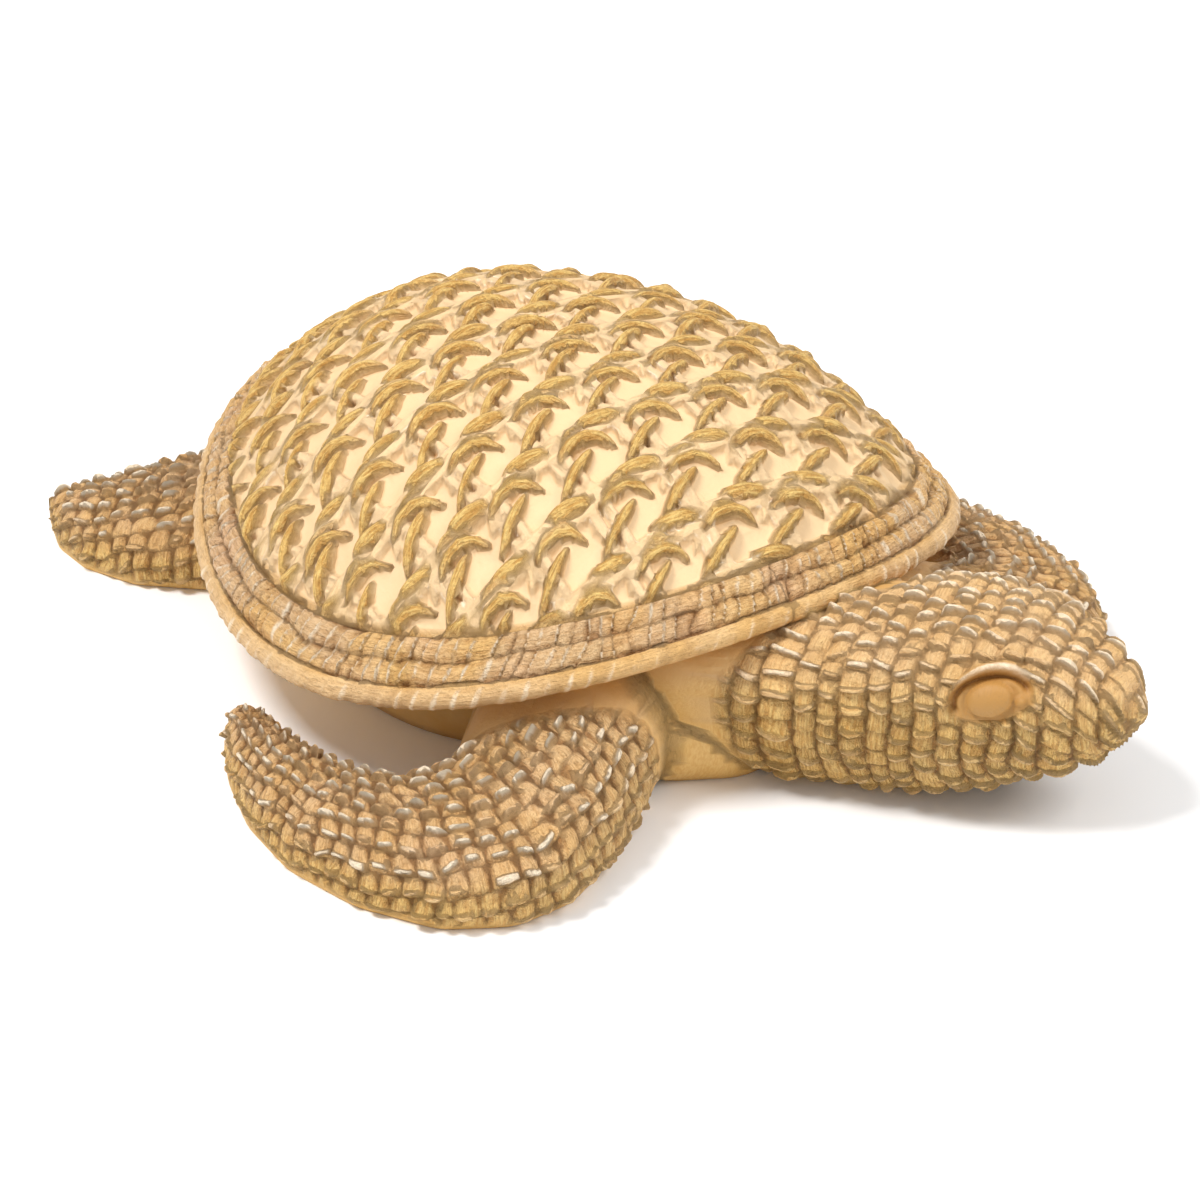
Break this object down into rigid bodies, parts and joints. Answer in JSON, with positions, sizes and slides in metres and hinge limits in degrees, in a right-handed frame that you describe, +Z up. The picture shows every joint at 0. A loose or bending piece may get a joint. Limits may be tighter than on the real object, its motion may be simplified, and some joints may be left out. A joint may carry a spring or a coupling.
{
  "type": "turtle statuette",
  "caption": "Sea turtle statuette with cane-webbed shell, corded rim, woven-look flippers and head turned to its left, resting flat on belly and flippers.",
  "frame": {"origin": "centre of the bounding box at the underside the turtle rests on", "axes": "+X the way the turtle faces along its shell, +Y its left side, +Z up"},
  "size_m": [0.2084, 0.1736, 0.0623],
  "materials": {
    "resin": "matte painted resin, cream and tan with whitewashed high spots"
  },
  "bodies": {
    "root": {"turtle_casting": "resin"}
  },
  "joints": []
}
